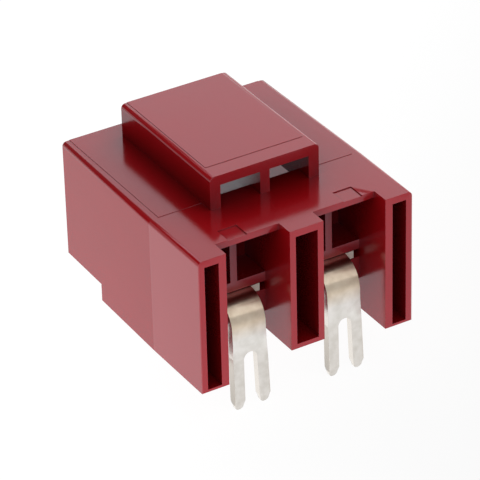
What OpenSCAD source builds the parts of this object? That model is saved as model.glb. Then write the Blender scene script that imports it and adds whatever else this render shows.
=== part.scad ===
// Right-angle power header for a circuit board: a moulded housing with a shroud and a lock tunnel,
// and two bent blade contacts whose forked legs go through the board.
// X runs across, Y from the terminal end towards the mating end, Z up.
// Zero is on the board plane, in the middle, under the terminal-end faces of the ribs.

/* [Contacts] */
// Distance between the two contact centres
pitch = 7.92; // [7.4:0.01:9]
// Thickness of the contact strip
strip_t = 0.6; // [0.4:0.01:0.8]
// Width of the strip at the blade and at the bend
strip_w = 2.76; // [2.4:0.01:3.2]
// Height of the blade's top face above the board
blade_z = 5; // [4.6:0.01:5.3]
// How far the blade's tip stays behind the mating face
blade_setback = 4.4; // [2:0.05:6]
// Length of the blade's pointed tip
blade_point = 0.9; // [0.5:0.05:1.5]
// Thickness left at the blade's tip
blade_tip_t = 0.25; // [0.15:0.01:0.35]
// How much the tip narrows on each side
blade_tip_in = 0.4; // [0.1:0.05:0.8]
// Width of the shoulder that stops the contact in its slot
shoulder_w = 4.2; // [3.6:0.01:4.8]
// Depth of the shoulder along the blade
shoulder_d = 1.5; // [0.8:0.05:2]
// Outer radius of the bend
bend_r = 1.95; // [1.2:0.01:2.6]
// Lean of the legs away from the housing, in degrees
leg_lean = 2.8; // [0:0.1:6]
// How far each leg's tip is spread outwards
leg_splay = 0.06; // [0:0.01:0.2]
// Width of one leg
leg_w = 0.88; // [0.7:0.01:1.1]
// Gap between the legs at the fork's root
fork_gap = 1.1; // [0.7:0.01:1.2]
// Height of the fork's root above the board
fork_z = 1.07; // [0.4:0.01:1.6]
// How far the legs reach below the board plane
leg_reach = 3.5; // [2.5:0.05:5]
// Length of a leg's tapered end
leg_taper = 0.75; // [0.6:0.05:1.4]
// Width of a leg's rounded tip
leg_tip_w = 0.68; // [0.4:0.01:0.7]
// Thickness left at a leg's tip
leg_tip_t = 0.2; // [0.1:0.01:0.35]
// Clearance round a contact in its slot
fit_gap = 0.04; // [0.02:0.01:0.08]

/* [Housing] */
// Width of a terminal bay
bay_w = 5.16; // [4.9:0.01:5.8]
// Depth of a terminal bay
bay_d = 3.45; // [2.8:0.05:4.2]
// Width of an outer rib
side_rib_w = 2.24; // [1.9:0.01:2.8]
// Depth from the rib faces to the mating face
body_d = 19.65; // [17:0.05:24]
// Height of the deck above the board
deck_z = 10.82; // [10.4:0.01:12]
// Thickness of the deck over the bays
deck_t = 0.52; // [0.4:0.01:0.8]
// How far the deck's edge stays behind the rib faces
deck_setback = 1.45; // [0.8:0.05:2.2]
// Depth of the wall that holds the contacts
web_d = 3.6; // [3:0.05:4.5]
// Length of the feet from the rib faces
foot_d = 14.5; // [12:0.1:16]
// Height of the mating end's underside above the board
mate_lift = 1.41; // [1.2:0.01:1.7]
// Height of the underside between the feet
mid_lift = 0.99; // [0.6:0.01:1.1]
// Height of the recess under the contacts
recess_z = 2.52; // [1.6:0.01:3.4]
// Place of the mould's parting line
part_y = 6.7; // [5.8:0.05:9]
// How much each side widens from the rib faces to the parting line
rear_draft = 0.05; // [0:0.01:0.1]
// How much each side narrows from the parting line to the mating face
mate_draft = 0.2; // [0:0.01:0.3]
// Rounding of the long top edges
edge_r = 0.35; // [0.2:0.01:0.45]

/* [Rib pockets] */
// Outer wall of an outer rib
rib_skin = 0.5; // [0.48:0.01:0.7]
// Wall between a pocket and a bay
rib_wall = 0.6; // [0.4:0.01:0.8]
// Wall on each side of the middle rib's pocket
mid_wall = 0.48; // [0.4:0.01:0.8]
// Material over the pockets
pocket_roof = 0.56; // [0.4:0.01:0.9]
// Material under an outer pocket
foot_sole = 0.2; // [0.15:0.01:0.5]
// Material under the middle pocket
mid_sole = 0.37; // [0.2:0.01:0.6]
// Wall left between the blind pockets and the shroud
blind_wall = 0.8; // [0.5:0.05:1.2]

/* [Bay windows] */
// Height of the windows' sill above the board
sill_z = 5.8; // [5.6:0.05:7]
// Width of the bar between a bay's two windows
bar_w = 0.55; // [0.4:0.01:0.9]

/* [Shroud] */
// Side wall at the mating face
side_wall = 0.7; // [0.5:0.01:1]
// Floor of the shroud
floor_t = 0.89; // [0.6:0.01:1.2]
// Roof of the shroud
roof_t = 0.82; // [0.6:0.01:1]
// Lead-in chamfer round the mouth
mouth_chamfer = 0.3; // [0.1:0.05:0.4]

/* [Lock tunnel] */
// Outer width of the tunnel block
block_w = 8.98; // [8:0.02:10]
// Height of the block above the deck
block_h = 2.62; // [2.2:0.02:3.4]
// Distance of the block's near face from the rib faces
block_y = 5.5; // [4.8:0.05:6]
// How far the block stays behind the mating face
block_setback = 1.57; // [0.8:0.01:3]
// Side walls of the tunnel
tunnel_wall = 0.85; // [0.7:0.01:1.2]
// Roof of the tunnel
tunnel_roof = 0.8; // [0.6:0.01:1.1]
// Thickness of the wall that parts the two contacts and the tunnel's two windows
part_wall = 0.78; // [0.5:0.01:1.2]
// How far that wall stays behind the mating face
part_wall_setback = 1.6; // [0.8:0.05:6]

/* [Mould marks] */
// Height of the moulded steps on the deck and the block
step_h = 0.03; // [0.01:0.01:0.06]
// Margin of the deck's raised panel from the sides
panel_margin = 0.6; // [0.5:0.05:1]
// Distance of the block's raised panel from the block's near face
block_panel_in = 1.4; // [0.5:0.05:2]
// Margin of the block's raised panel from the block's sides
block_panel_margin = 0.48; // [0.46:0.01:1]
// Width of the shallow mark over each bay
mark_w = 1.55; // [1:0.05:2]
// Depth of that mark behind the deck's edge
mark_d = 1.45; // [0.8:0.05:2]
// How far that mark is sunk
mark_h = 0.07; // [0.02:0.01:0.12]

/* [Hidden] */
$fn = 48;
over = 1;

contact_x = pitch / 2;
bay_in = contact_x - bay_w / 2;
bay_out = contact_x + bay_w / 2;
rear_hw = bay_out + side_rib_w;
part_hw = rear_hw + rear_draft;
mate_hw = part_hw - mate_draft;
cavity_y = bay_d + web_d;
cavity_hw = mate_hw - side_wall;
cavity_z = mate_lift + floor_t;
roof_z = deck_z - roof_t;
blind_y = cavity_y - blind_wall;
block_far_y = body_d - block_setback;
block_top_z = deck_z + block_h;
tunnel_hw = block_w / 2 - tunnel_wall;
tunnel_z = block_top_z - tunnel_roof;
part_wall_y = body_d - part_wall_setback;
blade_tip_y = body_d - blade_setback;
bend_z = blade_z - bend_r;
leg_x = (leg_w + fork_gap) / 2;

// A box from its low corner to its high corner
module box(low, high) {
    translate(low) cube(high - low);
}

// Children repeated on the left as a mirror image
module both_sides() {
    children();
    mirror([1, 0, 0]) children();
}

// An outline in Y and Z, drawn out across X from x0 to x1
module across(x0, x1) {
    translate([x0, 0, 0]) rotate([90, 0, 90]) linear_extrude(x1 - x0) children();
}

// An outline in X and Z, drawn out along Y from y0 to y1
module along(y0, y1) {
    translate([0, y1, 0]) rotate([90, 0, 0]) linear_extrude(y1 - y0) children();
}

// What a rounding takes off a top edge at the right that runs along Y
module edge_cut(length) {
    along(-over, length + over) difference() {
        translate([-edge_r, -edge_r]) square(edge_r + over);
        translate([-edge_r, -edge_r]) circle(edge_r);
    }
}

// The same on an edge that leans in plan from one point to the other
module leaning_edge_cut(from, to) {
    run = to - from;
    translate([from[0], from[1], deck_z]) rotate([0, 0, -atan2(run[0], run[1])]) edge_cut(norm(run));
}

// Outer body in plan: widest at the parting line, drafted towards both ends
module body_plan() {
    right = [[rear_hw, 0], [part_hw, part_y], [mate_hw, body_d]];
    left = [for (i = [2:-1:0]) [-right[i][0], right[i][1]]];
    polygon(concat(right, left));
}

// Outer body with its rounded long edges and the step under the mating end
module body_blank() {
    difference() {
        linear_extrude(deck_z) body_plan();
        both_sides() {
            leaning_edge_cut([rear_hw, 0], [part_hw, part_y]);
            leaning_edge_cut([part_hw, part_y], [mate_hw, body_d]);
        }
        box([-part_hw - over, foot_d, -over], [part_hw + over, body_d + over, mate_lift]);
        box([-bay_out, -over, -over], [bay_out, foot_d + over, mid_lift]);
    }
}

// Block over the deck that covers the lock tunnel
module block_blank() {
    difference() {
        box([-block_w / 2, block_y, roof_z], [block_w / 2, block_far_y, block_top_z]);
        both_sides() translate([block_w / 2, block_y, block_top_z]) edge_cut(block_far_y - block_y);
    }
}

// Faint raised panels that the mould leaves on the deck and on the block
module raised_panels() {
    deck_hw = mate_hw - panel_margin;
    block_hw = block_w / 2 - block_panel_margin;
    box([-deck_hw, part_y, deck_z - over], [deck_hw, body_d, deck_z + step_h]);
    box([-block_hw, block_y + block_panel_in, block_top_z - step_h],
        [block_hw, block_far_y, block_top_z + step_h]);
}

// Open bay round a contact's legs, with the deck's edge set back above it
module bay_cut() {
    box([bay_in, -over, -over], [bay_out, bay_d, deck_z - deck_t]);
    box([bay_in, -over, 0], [bay_out, deck_setback, deck_z + over]);
}

// Recess that goes on under the contact behind the bay
module under_recess() {
    box([bay_in, bay_d - over, -over], [bay_out, blind_y, recess_z]);
}

// Two blind windows above the contact in a bay's back wall
module bay_windows() {
    difference() {
        box([bay_in, bay_d - over, sill_z], [bay_out, blind_y, deck_z - deck_t]);
        box([contact_x - bar_w / 2, bay_d, sill_z], [contact_x + bar_w / 2, blind_y, deck_z]);
    }
}

// Stepped slot through the back wall, as wide as the bay for the shoulder and narrow for the blade
module contact_slot() {
    low = blade_z - strip_t - fit_gap;
    high = blade_z + fit_gap;
    narrow = strip_w / 2 + fit_gap;
    box([bay_in, bay_d - over, low], [bay_out, bay_d + shoulder_d + fit_gap, high]);
    box([contact_x - narrow, bay_d, low], [contact_x + narrow, cavity_y + over, high]);
}

// Blind pocket in an outer rib
module side_pocket() {
    box([bay_out + rib_wall, -over, foot_sole], [rear_hw - rib_skin, blind_y, deck_z - pocket_roof]);
}

// Blind pocket in the middle rib
module mid_pocket() {
    hw = bay_in - mid_wall;
    box([-hw, -over, mid_lift + mid_sole], [hw, blind_y, deck_z - pocket_roof]);
}

// Shallow mark on the deck over a bay
module deck_mark() {
    box([contact_x, 0, deck_z - mark_h], [contact_x + mark_w, deck_setback + mark_d, deck_z + over]);
}

// Cavity of the shroud, open at the mating face, with a chamfered mouth
module shroud_cavity() {
    box([-cavity_hw, cavity_y, cavity_z], [cavity_hw, body_d + over, roof_z]);
    mouth = body_d - mouth_chamfer;
    reach = mouth_chamfer + over;
    intersection() {
        across(-rear_hw - reach, rear_hw + reach)
            polygon([[mouth, cavity_z], [mouth + reach, cavity_z - reach],
                     [mouth + reach, roof_z + reach], [mouth, roof_z]]);
        linear_extrude(deck_z + over)
            polygon([[-cavity_hw, mouth], [cavity_hw, mouth],
                     [cavity_hw + reach, mouth + reach], [-cavity_hw - reach, mouth + reach]]);
    }
}

// Tunnel for the mating latch: windows at the near end, open at the far end and down into the shroud
module tunnel_cut() {
    box([-tunnel_hw, block_y - over, deck_z], [tunnel_hw, block_far_y + over, tunnel_z]);
    box([-tunnel_hw, cavity_y, roof_z - over], [tunnel_hw, body_d + over, tunnel_z]);
}

// Wall that parts the two contacts, from the shroud's floor up to the tunnel's roof, with a lead-in
module parting_wall() {
    hw = part_wall / 2;
    translate([0, 0, mate_lift]) linear_extrude(block_top_z - mate_lift)
        polygon([[-hw, block_y], [hw, block_y], [hw, part_wall_y - hw],
                 [hw / 2, part_wall_y], [-hw / 2, part_wall_y], [-hw, part_wall_y - hw]]);
}

module housing() {
    color([0.62, 0.07, 0.1]) difference() {
        union() {
            body_blank();
            block_blank();
            raised_panels();
        }
        both_sides() {
            bay_cut();
            under_recess();
            bay_windows();
            contact_slot();
            side_pocket();
            deck_mark();
        }
        mid_pocket();
        difference() {
            union() {
                shroud_cavity();
                tunnel_cut();
            }
            parting_wall();
        }
    }
}

// Side view of the strip in Y and Z: pointed blade, round bend, leaning leg with a pointed end
module strip_profile() {
    turn = 90 - leg_lean;
    blade_cut = (strip_t - blade_tip_t) / 2;
    blade_neck_y = blade_tip_y - blade_point;
    polygon([
        [bay_d, blade_z],
        [bay_d, blade_z - strip_t],
        [blade_neck_y, blade_z - strip_t],
        [blade_tip_y, blade_z - strip_t + blade_cut],
        [blade_tip_y, blade_z - blade_cut],
        [blade_neck_y, blade_z]
    ]);
    inner_r = bend_r - strip_t;
    leg_cut = (strip_t - leg_tip_t) / 2;
    leg_l = (bend_z + (bend_r - strip_t / 2) * cos(turn) + leg_reach) / sin(turn);
    translate([bay_d, bend_z]) {
        intersection() {
            difference() {
                circle(bend_r);
                circle(inner_r);
            }
            polygon([[0, 0], [0, 2 * bend_r], [-2 * bend_r, 2 * bend_r],
                     [-2 * bend_r * sin(turn), 2 * bend_r * cos(turn)]]);
        }
        rotate(turn) polygon([
            [0, inner_r],
            [0, bend_r],
            [leg_taper - leg_l, bend_r],
            [-leg_l, bend_r - leg_cut],
            [-leg_l, inner_r + leg_cut],
            [leg_taper - leg_l, inner_r]
        ]);
    }
}

// Plan view of the blade with its shoulder and its narrowed tip
module blade_plan() {
    neck_y = blade_tip_y - blade_point;
    shoulder_y = bay_d + shoulder_d;
    right = [
        [shoulder_w / 2, bay_d],
        [shoulder_w / 2, shoulder_y],
        [strip_w / 2, shoulder_y],
        [strip_w / 2, neck_y],
        [strip_w / 2 - blade_tip_in, blade_tip_y]
    ];
    left = [for (i = [len(right) - 1:-1:0]) [-right[i][0], right[i][1]]];
    polygon(concat(right, left));
}

// Neck and forked legs in X and Z, seen along the blade, with round tips and a round root
module fork_outline() {
    root_z = fork_z - fork_gap / 2;
    neck_z = fork_z + leg_w;
    taper_z = leg_taper - leg_reach;
    tip_z = leg_tip_w / 2 - leg_reach;
    tip_x = leg_x + leg_splay;
    taper_x = leg_x + leg_splay * (root_z - taper_z) / (root_z - tip_z);
    right = [
        [strip_w / 2, blade_z + over],
        [strip_w / 2, neck_z],
        [leg_x + leg_w / 2, root_z],
        [taper_x + leg_w / 2, taper_z],
        [tip_x + leg_tip_w / 2, tip_z],
        [tip_x - leg_tip_w / 2, tip_z],
        [taper_x - leg_w / 2, taper_z],
        [leg_x - leg_w / 2, root_z]
    ];
    left = [for (i = [len(right) - 1:-1:0]) [-right[i][0], right[i][1]]];
    difference() {
        polygon(concat(right, left));
        translate([0, root_z]) circle(d = fork_gap);
    }
    for (side = [-1, 1]) translate([side * tip_x, tip_z]) circle(d = leg_tip_w);
}

// One contact, bent from one flat strip, in the middle of the frame
module contact() {
    color([0.82, 0.8, 0.76]) intersection() {
        across(-shoulder_w, shoulder_w) strip_profile();
        union() {
            linear_extrude(blade_z + over) blade_plan();
            along(-leg_reach, bay_d) fork_outline();
        }
    }
}

module contact_left() {
    translate([-contact_x, 0, 0]) contact();
}

module contact_right() {
    translate([contact_x, 0, 0]) contact();
}

housing();
contact_left();
contact_right();
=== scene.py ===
"""Looks of a right-angle power header: a glossy red moulded housing and two tin-plated forked contacts."""
import math
import bpy
from mathutils import Matrix, Vector


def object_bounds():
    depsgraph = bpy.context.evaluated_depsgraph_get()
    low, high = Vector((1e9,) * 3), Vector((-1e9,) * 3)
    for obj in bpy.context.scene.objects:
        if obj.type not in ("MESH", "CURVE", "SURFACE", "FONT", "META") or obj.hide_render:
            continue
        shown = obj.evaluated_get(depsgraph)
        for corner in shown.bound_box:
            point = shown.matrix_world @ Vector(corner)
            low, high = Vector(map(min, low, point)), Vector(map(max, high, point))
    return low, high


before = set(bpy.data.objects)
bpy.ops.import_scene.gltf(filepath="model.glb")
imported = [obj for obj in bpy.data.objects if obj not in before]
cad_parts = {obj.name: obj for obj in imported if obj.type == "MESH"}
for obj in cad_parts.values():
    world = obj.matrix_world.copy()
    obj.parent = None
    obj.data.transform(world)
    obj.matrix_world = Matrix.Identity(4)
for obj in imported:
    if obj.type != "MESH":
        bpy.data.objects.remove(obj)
CAD_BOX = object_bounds()

# Units and the photograph's frame
MM = 0.001
FRAME_PX = 480
SENSOR_MM = 36.0

# Camera, found by fitting the housing's edges to the photograph
CAMERA_AT = Vector((-104.936, -170.075, 132.933)) * MM
CAMERA_AZIMUTH = -30.3419
CAMERA_ELEVATION = 31.6323
CAMERA_ROLL = -1.4965
FOCAL_PX = 3372.81
CLIP_NEAR = 0.01
CLIP_FAR = 20.0

# Sky: dim, and darker on the left. It changes between these values of a direction's x.
SKY_LEFT = 0.04
SKY_RIGHT = 0.17
SKY_X = (-0.6, 0.8)

# Bright backdrop behind on the right, which the deck and the block's top mirror.
# Its top and its left end are where the photograph's reflections stop.
BACKDROP = 1.45
BACKDROP_SIDE = (0.62, 0.78, 0.0)
BACKDROP_FACING = (0.3, 0.65)
BACKDROP_Z = (0.508, 0.6)
BACKDROP_X = (0.12, 0.34)

# Low band in front on the right, which the lower half of the contacts' bends mirrors
FRONT = 0.48
FRONT_SIDE = (0.53, -0.85, 0.0)
FRONT_FACING = (0.2, 0.7)
FRONT_Z = (0.36, 0.56)

# Fill from the left
LEFT = 0.44
LEFT_SIDE = (-0.85, -0.53, 0.0)
LEFT_FACING = (0.4, 0.8)

# Floor: it glows more on the back left, and both its glow and its mirrored white fade far away
WHITE = (1, 1, 1, 1)
FLOOR_SIZE = 6.0
FLOOR_ALBEDO = 0.65
FLOOR_LEFT_SIDE = (-0.7, 0.7, 0.0)
FLOOR_GLOW_FRONT = 0.05
FLOOR_GLOW_LEFT = 0.95
FLOOR_GLOW_SPAN = (-15 * MM, 15 * MM)
FLOOR_WHITE_SHARE = 0.9
LEFT_FADE = (52 * MM, 70 * MM)
LEFT_FAR_SHARE = 0.2
FRONT_FADE = (8 * MM, 60 * MM)
FRONT_FAR_SHARE = 0.45

# Soft boxes: name, direction from the object, width and height in metres, brightness.
# The bends mirror the front box, the right box fills, and the back box lights the deck and the block.
BOX_DISTANCE = 0.6
SOFT_BOXES = (
    ("front_box", (0.02, -0.6, 0.7), (0.76, 0.5), 1.22),
    ("right_box", (0.6, 0.25, 0.75), (0.6, 0.6), 0.2),
    ("back_box", (0.12, 0.5, 0.86), (0.36, 0.2), 2.0),
)

# Edges sharper than an angle are softened by this much
PLASTIC_EDGE = 0.08 * MM
TIN_EDGE = 0.06 * MM
EDGE_ANGLE = math.radians(35)
EDGE_SEGMENTS = 2

# Doubled vertices are joined within this reach, and large faces set the shading of soft edges
WELD_REACH = 0.0001 * MM
LARGE_FACES_FIRST = 100

# Plastic colours: the flow marks lie between the first two, the third is the dull sides' paler colour, and
# the last is painted shade that darkens corners, pockets and bays
RED_DEEP = (0.4, 0.0043, 0.0079, 1)
RED_LIGHT = (0.43, 0.0051, 0.0093, 1)
# Painted sheen: the dull rear sides are painted paler and pinker in place of their stronger reflection
RED_DULL_PAINTED_SHEEN = (0.48, 0.06, 0.068, 1)
RED_PAINTED_SHADE = (0.08, 0.0004, 0.0008, 1)

# Painted shade in corners: how far off a covering face counts, the open share between all and none, and
# the strength of the painted darkening
CORNER_REACH = 5 * MM
CORNER_RAYS = 8
CORNER_OPEN = (0.35, 0.97)
CORNER_CURVE = 0.6
PAINTED_SHADE_STRENGTH = 0.85

# Plastic gloss: the range over the skin, and what is added on dull sides, in the bays and in the shroud
PLASTIC_ROUGH = (0.13, 0.18)
DULL_ROUGH = 0.05
BAY_ROUGH = 0.12
SHROUD_ROUGH = -0.06
PLASTIC_IOR = 1.6
PLASTIC_GLOSS_TINT = (0.92, 0.85, 1.0, 1)

# Inner faces are below this height: dull in the bays, and polished in the shroud behind them
INNER_Z = 10.3 * MM
BAY_TO_SHROUD_Y = (4 * MM, 7 * MM)

# The outer sides are duller from the mould's parting line to the rear, and there their colour is painted
# paler as a painted sheen
PART_Y = 6.7 * MM
OUTER_X = 8.7 * MM

# Marks in the plastic, per metre: long flow marks, a slow ripple and a fine speckle
FLOW_SCALE = 350
FLOW_STRETCH = (1, 0.35, 1)
FLOW_DETAIL = 4
RIPPLE_SCALE = 900
SPECKLE_SCALE = 9000
FINE_DETAIL = 2
NOISE_MIDDLE = (0.3, 0.7)
FLOW_SHARE = 0.7
SPECKLE_SHARE = 0.3
RIPPLE_BUMP = 0.05
RIPPLE_HEIGHT = 0.02 * MM
SPECKLE_BUMP = 0.04
SPECKLE_HEIGHT = 0.01 * MM

# Tin colours, in two patchy tones each: the leg, the plate above it, which is painted brighter than the
# leg as painted light for the brighter reflection it catches, and the warm bend.
# Sheared edges and ears have one of their own.
LEG_LIGHT = (0.77, 0.735, 0.695, 1)
LEG_DARK = (0.66, 0.625, 0.575, 1)
PLATE_LIGHT = (0.86, 0.835, 0.8, 1)
PLATE_DARK = (0.75, 0.725, 0.68, 1)
BEND_LIGHT = (0.77, 0.66, 0.52, 1)
BEND_DARK = (0.67, 0.56, 0.425, 1)
SHEARED = (0.84, 0.79, 0.73, 1)

# Tin gloss: the range over streaks and patches, more on the ears and less on sheared edges.
# It is spread across the strip, by a quarter turn from the tangent round the X axis.
TIN_ROUGH = (0.33, 0.39)
EAR_ROUGH = 0.5
SHEARED_ROUGH = -0.15
TIN_SPREAD = 0.9
QUARTER_TURN = 0.25

# Marks in the tin, per metre
STREAK_SCALE = 9000
STREAK_STRETCH = (1, 0.04, 0.04)
STREAK_DETAIL = 3
STREAK_BUMP = 0.08
STREAK_HEIGHT = 0.01 * MM
PATCH_SCALE = 1600
PATCH_DETAIL = 4
PATCH_BUMP = 0.4
PATCH_HEIGHT = 0.02 * MM
PATCH_MIDDLE = (0.35, 0.7)
TIN_MARKS_SUM = (0.7, 1.3)

# Heights between which a contact's leg becomes its plate, and its plate becomes its bend
LEG_TO_PLATE_Z = (0.4 * MM, 1.6 * MM)
PLATE_TO_BEND_Z = (2.2 * MM, 3.4 * MM)

# Middle of a contact, how far from it the ears begin, and how far sideways a sheared face looks
CONTACT_X = 3.96 * MM
EAR_IN = 1.42 * MM
SIDEWAYS = (0.6, 0.9)


def view_axes(azimuth, elevation, roll):
    """The camera's right, up and forward directions; azimuth 0 looks along +Y."""
    a, e, r = (math.radians(v) for v in (azimuth, elevation, roll))
    forward = Vector((-math.sin(a) * math.cos(e), math.cos(a) * math.cos(e), -math.sin(e)))
    level = forward.cross(Vector((0, 0, 1))).normalized()
    upright = level.cross(forward)
    right = level * math.cos(r) + upright * math.sin(r)
    up = upright * math.cos(r) - level * math.sin(r)
    return right, up, forward


def add_camera():
    """The photograph's camera: a long lens, with no shift and no depth of field."""
    right, up, forward = view_axes(CAMERA_AZIMUTH, CAMERA_ELEVATION, CAMERA_ROLL)
    data = bpy.data.cameras.new("camera")
    data.sensor_width = SENSOR_MM
    data.lens = SENSOR_MM * FOCAL_PX / FRAME_PX
    data.clip_start = CLIP_NEAR
    data.clip_end = CLIP_FAR
    camera = bpy.data.objects.new("camera", data)
    turn = Matrix((right, up, -forward)).transposed().to_4x4()
    camera.matrix_world = Matrix.Translation(CAMERA_AT) @ turn
    bpy.context.scene.collection.objects.link(camera)
    bpy.context.scene.camera = camera


class Nodes:
    """Short calls for building one node tree."""

    def __init__(self, tree):
        self.tree = tree
        tree.nodes.clear()

    def add(self, kind, inputs=None, **settings):
        """A new node with its settings, and inputs given as values or as sockets to link from."""
        node = self.tree.nodes.new("ShaderNode" + kind)
        for name, value in settings.items():
            setattr(node, name, value)
        for key, value in (inputs or {}).items():
            self.put(node.inputs[key], value)
        return node

    def put(self, socket, value):
        """Links a socket or sets a value."""
        if isinstance(value, bpy.types.NodeSocket):
            self.tree.links.new(value, socket)
        else:
            socket.default_value = value

    def coordinates(self, kind="Object"):
        """Coordinates of one kind."""
        return self.add("TexCoord").outputs[kind]

    def split(self, vector):
        """A vector's X, Y and Z."""
        return self.add("SeparateXYZ", {"Vector": vector}).outputs

    def stretch(self, where, scale):
        """Coordinates with another scale along each axis."""
        return self.add("Mapping", {"Vector": where, "Scale": scale}).outputs["Vector"]

    def noise(self, where, scale, detail):
        """A noise value from 0 to 1 at these coordinates."""
        inputs = {"Vector": where, "Scale": scale, "Detail": detail}
        return self.add("TexNoise", inputs).outputs["Fac"]

    def remap(self, value, span, onto=(0, 1)):
        """A value stretched from one range onto another, and held inside it."""
        inputs = {"Value": value}
        inputs["From Min"], inputs["From Max"] = span
        inputs["To Min"], inputs["To Max"] = onto
        return self.add("MapRange", inputs).outputs["Result"]

    def blend(self, factor, first, second):
        """A colour between two."""
        node = self.add("Mix", data_type="RGBA")
        self.put(node.inputs["Factor"], factor)
        self.put(node.inputs["A"], first)
        self.put(node.inputs["B"], second)
        return node.outputs["Result"]

    def calc(self, operation, first, second=0.0):
        """Arithmetic on one or two values."""
        return self.add("Math", {0: first, 1: second}, operation=operation).outputs["Value"]

    def along(self, vector, direction):
        """How far a vector reaches in a direction."""
        inputs = {0: vector, 1: direction}
        return self.add("VectorMath", inputs, operation="DOT_PRODUCT").outputs["Value"]

    def bump(self, height, strength, distance, under=None):
        """A normal with small relief, on top of another relief if one is given."""
        inputs = {"Height": height, "Strength": strength, "Distance": distance}
        if under is not None:
            inputs["Normal"] = under
        return self.add("Bump", inputs).outputs["Normal"]


def new_material(name):
    """An empty node material and its builder."""
    material = bpy.data.materials.new(name)
    material.use_nodes = True
    return material, Nodes(material.node_tree)


def dull_and_sheen_sides(n, where):
    """1 on the rear part of the outer sides, where the mould leaves a duller skin and a paler painted
    sheen goes, and 0 elsewhere.
    """
    place = n.split(where)
    rear = n.calc("LESS_THAN", place["Y"], PART_Y)
    outer = n.calc("GREATER_THAN", n.calc("ABSOLUTE", place["X"]), OUTER_X)
    return n.calc("MULTIPLY", rear, outer)


def corners(n):
    """1 deep in corners, pockets and bays, and 0 on open faces: where painted shade goes, and where inner
    faces are rougher.
    """
    inputs = {"Distance": CORNER_REACH}
    open_share = n.add("AmbientOcclusion", inputs, samples=CORNER_RAYS, only_local=True).outputs["AO"]
    return n.calc("POWER", n.remap(open_share, CORNER_OPEN, (1, 0)), CORNER_CURVE)


def plastic_roughness(n, where, skin, dull_and_sheen, covered):
    """Glossy with a fine skin, duller on the rear sides and in the bays, and polished in the shroud."""
    place = n.split(where)
    rough = n.remap(skin, NOISE_MIDDLE, PLASTIC_ROUGH)
    rough = n.calc("ADD", rough, n.calc("MULTIPLY", dull_and_sheen, DULL_ROUGH))
    inner = n.calc("MULTIPLY", covered, n.calc("LESS_THAN", place["Z"], INNER_Z))
    change = n.remap(place["Y"], BAY_TO_SHROUD_Y, (BAY_ROUGH, SHROUD_ROUGH))
    return n.calc("ADD", rough, n.calc("MULTIPLY", inner, change))


def plastic_material():
    """Deep red moulded plastic: faint flow marks, a fine skin, painted shade darkening corners, and a
    paler painted sheen on the dull sides.
    """
    material, n = new_material("red_plastic")
    where = n.coordinates()
    flow = n.noise(n.stretch(where, FLOW_STRETCH), FLOW_SCALE, FLOW_DETAIL)
    speckle = n.noise(where, SPECKLE_SCALE, FINE_DETAIL)
    ripple = n.noise(where, RIPPLE_SCALE, FINE_DETAIL)
    dull_and_sheen = dull_and_sheen_sides(n, where)
    covered = corners(n)
    red = n.blend(n.remap(flow, NOISE_MIDDLE), RED_DEEP, RED_LIGHT)
    # Painted sheen: the dull rear sides get a paler, pinker colour
    red = n.blend(dull_and_sheen, red, RED_DULL_PAINTED_SHEEN)
    # Painted shade: corners, pockets and bays are darkened towards near black
    red = n.blend(n.calc("MULTIPLY", covered, PAINTED_SHADE_STRENGTH), red, RED_PAINTED_SHADE)
    coarse = n.calc("MULTIPLY", flow, FLOW_SHARE)
    skin = n.calc("ADD", coarse, n.calc("MULTIPLY", speckle, SPECKLE_SHARE))
    wave = n.bump(ripple, RIPPLE_BUMP, RIPPLE_HEIGHT)
    shader = n.add("BsdfPrincipled", {
        "Base Color": red,
        "Roughness": plastic_roughness(n, where, skin, dull_and_sheen, covered),
        "IOR": PLASTIC_IOR,
        "Specular Tint": PLASTIC_GLOSS_TINT,
        "Normal": n.bump(speckle, SPECKLE_BUMP, SPECKLE_HEIGHT, wave),
    })
    n.add("OutputMaterial", {"Surface": shader.outputs["BSDF"]})
    return material


def tin_material():
    """Satin tin plate: rolled streaks, soft patches, a plate painted brighter than its leg as painted
    light, a warm bend and smoother sheared edges.
    """
    material, n = new_material("tin_plate")
    where = n.coordinates()
    place = n.split(where)
    normal = n.split(n.coordinates("Normal"))
    sheared = n.remap(n.calc("ABSOLUTE", normal["X"]), SIDEWAYS)
    plate_painted_brighter = n.remap(place["Z"], LEG_TO_PLATE_Z)
    warm_bend_share = n.remap(place["Z"], PLATE_TO_BEND_Z)
    off_centre = n.calc("SUBTRACT", n.calc("ABSOLUTE", place["X"]), CONTACT_X)
    ear = n.calc("GREATER_THAN", n.calc("ABSOLUTE", off_centre), EAR_IN)
    streaks = n.noise(n.stretch(where, STREAK_STRETCH), STREAK_SCALE, STREAK_DETAIL)
    patches = n.noise(where, PATCH_SCALE, PATCH_DETAIL)
    patchy = n.remap(patches, PATCH_MIDDLE)
    leg = n.blend(patchy, LEG_LIGHT, LEG_DARK)
    plate = n.blend(patchy, PLATE_LIGHT, PLATE_DARK)
    bend = n.blend(patchy, BEND_LIGHT, BEND_DARK)
    # Painted light: the plate above the leg is painted brighter
    colour = n.blend(plate_painted_brighter, leg, plate)
    colour = n.blend(warm_bend_share, colour, bend)
    colour = n.blend(n.calc("MAXIMUM", sheared, ear), colour, SHEARED)
    rough = n.remap(n.calc("ADD", streaks, patches), TIN_MARKS_SUM, TIN_ROUGH)
    rough = n.calc("ADD", rough, n.calc("MULTIPLY", ear, EAR_ROUGH))
    rough = n.calc("ADD", rough, n.calc("MULTIPLY", sheared, SHEARED_ROUGH))
    dents = n.bump(patches, PATCH_BUMP, PATCH_HEIGHT)
    shader = n.add("BsdfPrincipled", {
        "Base Color": colour,
        "Metallic": 1.0,
        "Roughness": rough,
        "Anisotropic": TIN_SPREAD,
        "Anisotropic Rotation": QUARTER_TURN,
        "Tangent": n.add("Tangent", direction_type="RADIAL", axis="X").outputs["Tangent"],
        "Normal": n.bump(streaks, STREAK_BUMP, STREAK_HEIGHT, dents),
    })
    n.add("OutputMaterial", {"Surface": shader.outputs["BSDF"]})
    return material


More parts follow.
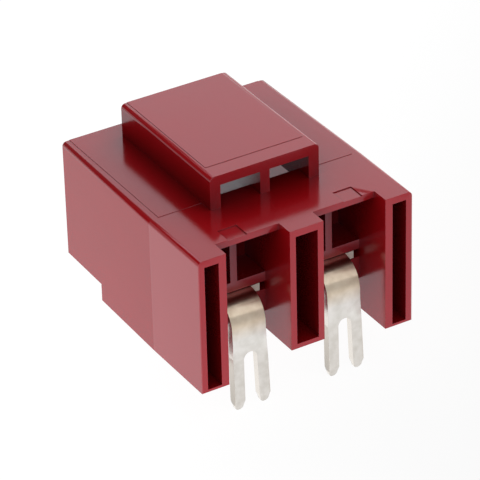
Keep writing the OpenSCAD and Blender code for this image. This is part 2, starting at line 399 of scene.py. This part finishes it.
def floor_material():
    """Pale floor with a slight glow, as a light table has. It shows white and keeps a soft shadow."""
    material, n = new_material("floor")
    where = n.coordinates()
    left = n.along(where, FLOOR_LEFT_SIDE)
    fade = n.remap(left, LEFT_FADE, (1, LEFT_FAR_SHARE))
    glow = n.remap(left, FLOOR_GLOW_SPAN, (FLOOR_GLOW_FRONT, FLOOR_GLOW_LEFT))
    glow = n.calc("MULTIPLY", glow, fade)
    grey = (FLOOR_ALBEDO, FLOOR_ALBEDO, FLOOR_ALBEDO, 1)
    lit = n.add("AddShader", {
        0: n.add("BsdfDiffuse", {"Color": grey}).outputs["BSDF"],
        1: n.add("Emission", {"Color": WHITE, "Strength": glow}).outputs["Emission"],
    })
    white = n.add("Emission", {"Color": WHITE, "Strength": 1.0})
    path = n.add("LightPath").outputs
    direct = n.calc("MULTIPLY", path["Is Camera Ray"], FLOOR_WHITE_SHARE)
    mirrored = n.calc("MAXIMUM", path["Is Glossy Ray"], path["Is Transmission Ray"])
    near = n.remap(n.along(where, FRONT_SIDE), FRONT_FADE, (1, FRONT_FAR_SHARE))
    mirrored = n.calc("MULTIPLY", mirrored, n.calc("MULTIPLY", fade, near))
    share = n.calc("MAXIMUM", direct, mirrored)
    surface = n.add("MixShader", {0: share, 1: lit.outputs["Shader"], 2: white.outputs["Emission"]})
    n.add("OutputMaterial", {"Surface": surface.outputs["Shader"]})
    return material


def add_world():
    """Dim surroundings: sky, bright backdrop, low band in front and fill from the left."""
    world = bpy.data.worlds.new("studio")
    bpy.context.scene.world = world
    world.use_nodes = True
    n = Nodes(world.node_tree)
    direction = n.coordinates("Generated")
    way = n.split(direction)
    sky = n.remap(way["X"], SKY_X, (SKY_LEFT, SKY_RIGHT))
    behind = n.remap(n.along(direction, BACKDROP_SIDE), BACKDROP_FACING)
    backdrop = n.calc("MULTIPLY", n.remap(way["Z"], BACKDROP_Z, (1, 0)), behind)
    backdrop = n.calc("MULTIPLY", backdrop, n.remap(way["X"], BACKDROP_X, (0, BACKDROP)))
    front = n.remap(n.along(direction, FRONT_SIDE), FRONT_FACING, (0, FRONT))
    front = n.calc("MULTIPLY", front, n.remap(way["Z"], FRONT_Z, (1, 0)))
    left = n.remap(n.along(direction, LEFT_SIDE), LEFT_FACING, (0, LEFT))
    strength = sky
    for light in (backdrop, front, left):
        strength = n.calc("ADD", strength, light)
    back = n.add("Background", {"Color": WHITE, "Strength": strength})
    n.add("OutputWorld", {"Surface": back.outputs["Background"]})


def add_floor():
    """A large plain floor under the tips of the legs."""
    half = FLOOR_SIZE / 2
    z = CAD_BOX[0][2]
    mesh = bpy.data.meshes.new("floor")
    outline = [(-half, -half, z), (half, -half, z), (half, half, z), (-half, half, z)]
    mesh.from_pydata(outline, [], [(0, 1, 2, 3)])
    mesh.materials.append(floor_material())
    floor = bpy.data.objects.new("floor", mesh)
    bpy.context.scene.collection.objects.link(floor)


def add_soft_box(name, direction, size, brightness):
    """A soft light that faces the object, as bright as a surface of that strength."""
    data = bpy.data.lights.new(name, "AREA")
    data.shape = "RECTANGLE"
    data.size, data.size_y = size
    data.energy = brightness * math.pi * data.size * data.size_y
    light = bpy.data.objects.new(name, data)
    away = Vector(direction).normalized()
    centre = (Vector(CAD_BOX[0]) + Vector(CAD_BOX[1])) / 2
    turn = away.to_track_quat("Z", "Y").to_matrix().to_4x4()
    light.matrix_world = Matrix.Translation(centre + away * BOX_DISTANCE) @ turn
    bpy.context.scene.collection.objects.link(light)


def dress(node, material, edge):
    """Gives a CAD node its finish, and softens its edges."""
    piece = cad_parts[node]
    mesh = piece.data
    mesh.materials.clear()
    mesh.materials.append(material)
    mesh.normals_split_custom_set([(0, 0, 0)] * len(mesh.loops))
    mesh.shade_smooth()
    weld = piece.modifiers.new("weld", "WELD")
    weld.merge_threshold = WELD_REACH
    bevel = piece.modifiers.new("soft_edges", "BEVEL")
    bevel.width = edge
    bevel.segments = EDGE_SEGMENTS
    bevel.limit_method = "ANGLE"
    bevel.angle_limit = EDGE_ANGLE
    bevel.use_clamp_overlap = True
    even = piece.modifiers.new("even_shading", "WEIGHTED_NORMAL")
    even.mode = "FACE_AREA"
    even.weight = LARGE_FACES_FIRST
    even.keep_sharp = False


def main():
    """Sets up the view and the studio, and dresses the three CAD nodes."""
    bpy.context.scene.view_settings.view_transform = "Standard"
    add_camera()
    add_world()
    add_floor()
    for box in SOFT_BOXES:
        add_soft_box(*box)
    dress("housing", plastic_material(), PLASTIC_EDGE)
    tin = tin_material()
    for node in ("contact_left", "contact_right"):
        dress(node, tin, TIN_EDGE)


main()
